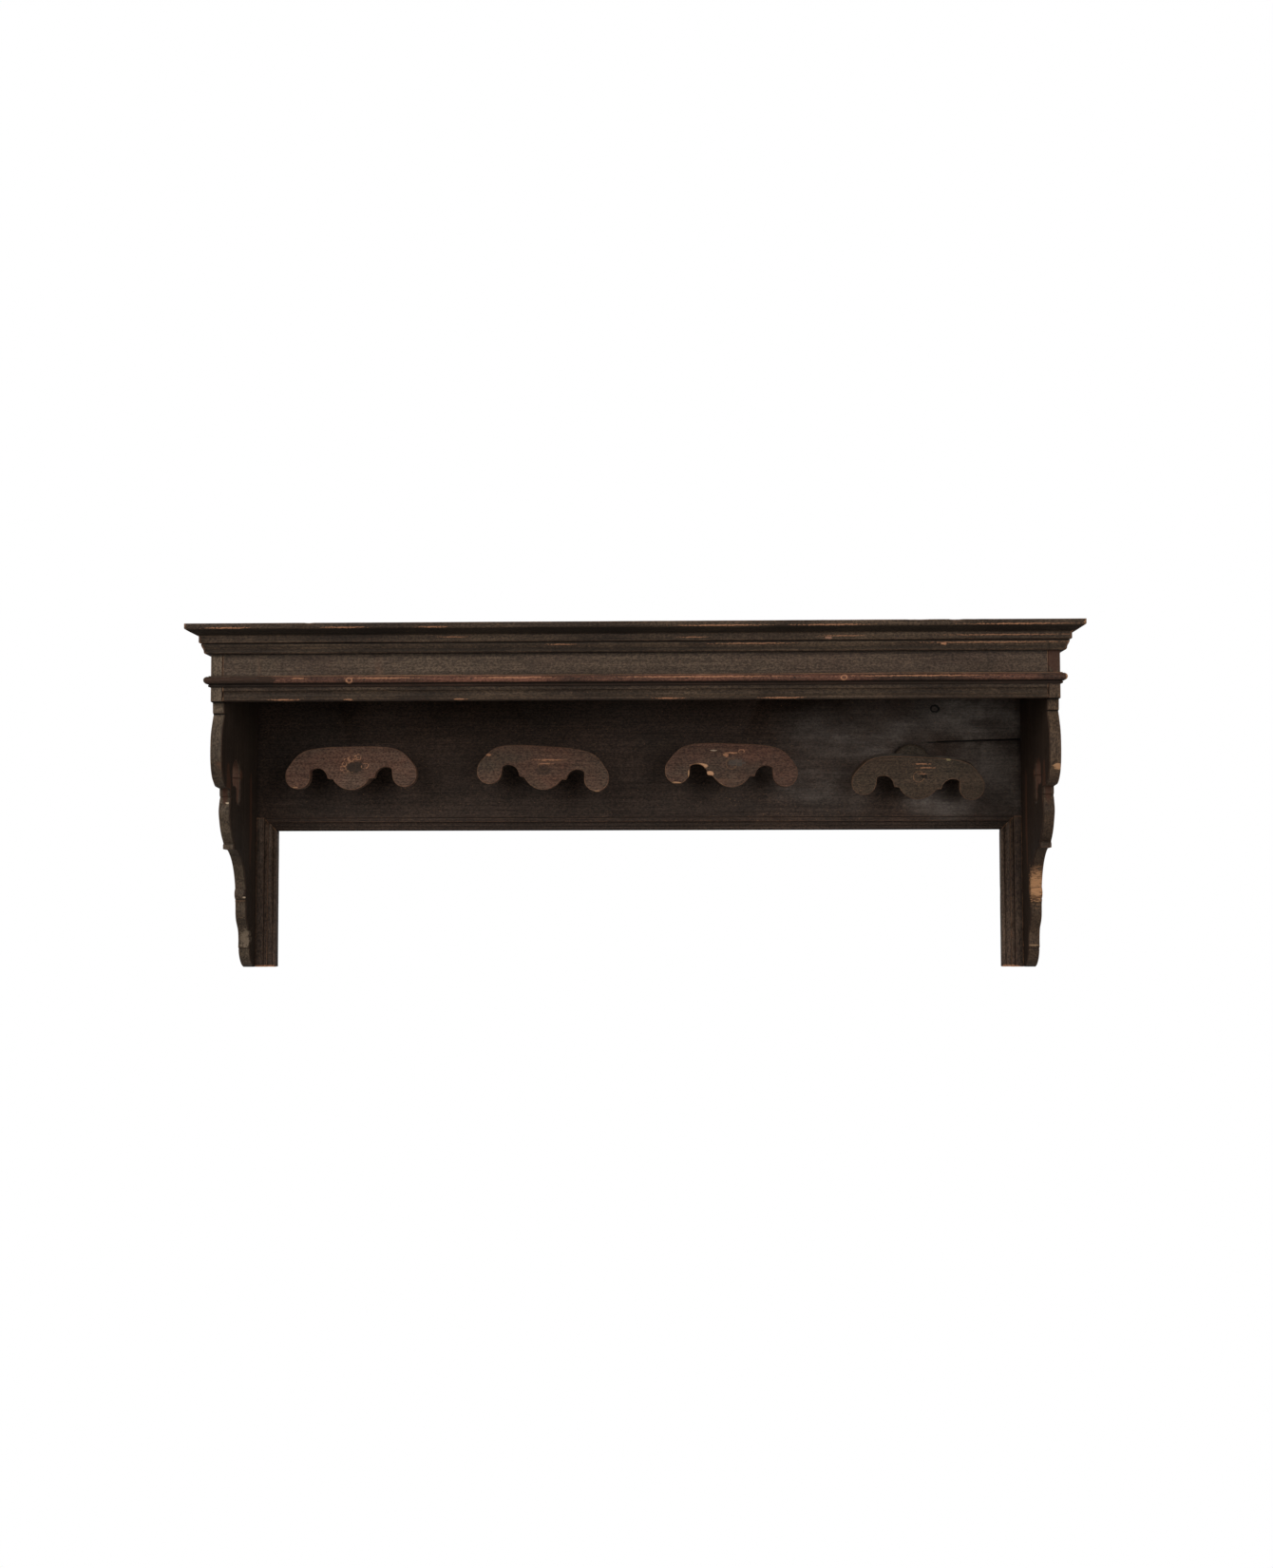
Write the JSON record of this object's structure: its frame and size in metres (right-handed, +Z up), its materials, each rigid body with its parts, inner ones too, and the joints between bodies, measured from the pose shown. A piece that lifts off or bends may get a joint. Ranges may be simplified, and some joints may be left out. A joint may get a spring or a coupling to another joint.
{
  "type": "wall shelf with coat hooks",
  "caption": "Dark stained wooden wall shelf with a moulded cornice, scroll-cut side brackets, a back board with legs, and scrolled wooden coat hooks.",
  "frame": {"origin": "on the wall plane, midway between the two wall screws, 540 mm above the feet of the legs", "axes": "+X to the right along the shelf as seen from the room, +Y into the wall (the front faces -Y), +Z up"},
  "size_m": [1.4948, 0.296, 0.584],
  "materials": {
    "dark_stained_wood": "black-brown stain, satin, worn to tan along the arrises",
    "back_board_wood": "dark stain with a thin wax, satin, streaked along the grain",
    "red_brown_wood": "red-brown stain, dry satin, rubbed and scratched",
    "plain_pine": "unstained softwood, aged",
    "cut_iron": "dull dark iron"
  },
  "bodies": {
    "root": {"architrave_rail": "dark_stained_wood", "astragal_front": "red_brown_wood", "astragal_left": "red_brown_wood", "astragal_pins": "cut_iron", "astragal_right": "red_brown_wood", "back_board": "back_board_wood", "bed_mould_front": "dark_stained_wood", "bed_mould_left": "dark_stained_wood", "bed_mould_pins": "cut_iron", "bed_mould_right": "dark_stained_wood", "bracket_left": "dark_stained_wood", "bracket_nails": "cut_iron", "bracket_right": "dark_stained_wood", "crown_front": "dark_stained_wood", "crown_left": "dark_stained_wood", "crown_pins": "cut_iron", "crown_right": "dark_stained_wood", "frieze_board": "dark_stained_wood", "glue_blocks": "plain_pine", "hanging_rail": "plain_pine", "hook_1_arm": "red_brown_wood", "hook_1_boss": "red_brown_wood", "hook_1_plate": "red_brown_wood", "hook_2_arm": "red_brown_wood", "hook_2_boss": "red_brown_wood", "hook_2_plate": "red_brown_wood", "hook_3_arm": "red_brown_wood", "hook_3_boss": "red_brown_wood", "hook_3_plate": "red_brown_wood", "hook_4_arm": "red_brown_wood", "hook_4_boss": "red_brown_wood", "hook_4_plate": "red_brown_wood", "hook_wedges": "plain_pine", "leg_left": "back_board_wood", "leg_right": "back_board_wood", "rail_screws": "cut_iron", "top_board": "dark_stained_wood", "top_board_nails": "cut_iron"}
  },
  "joints": []
}
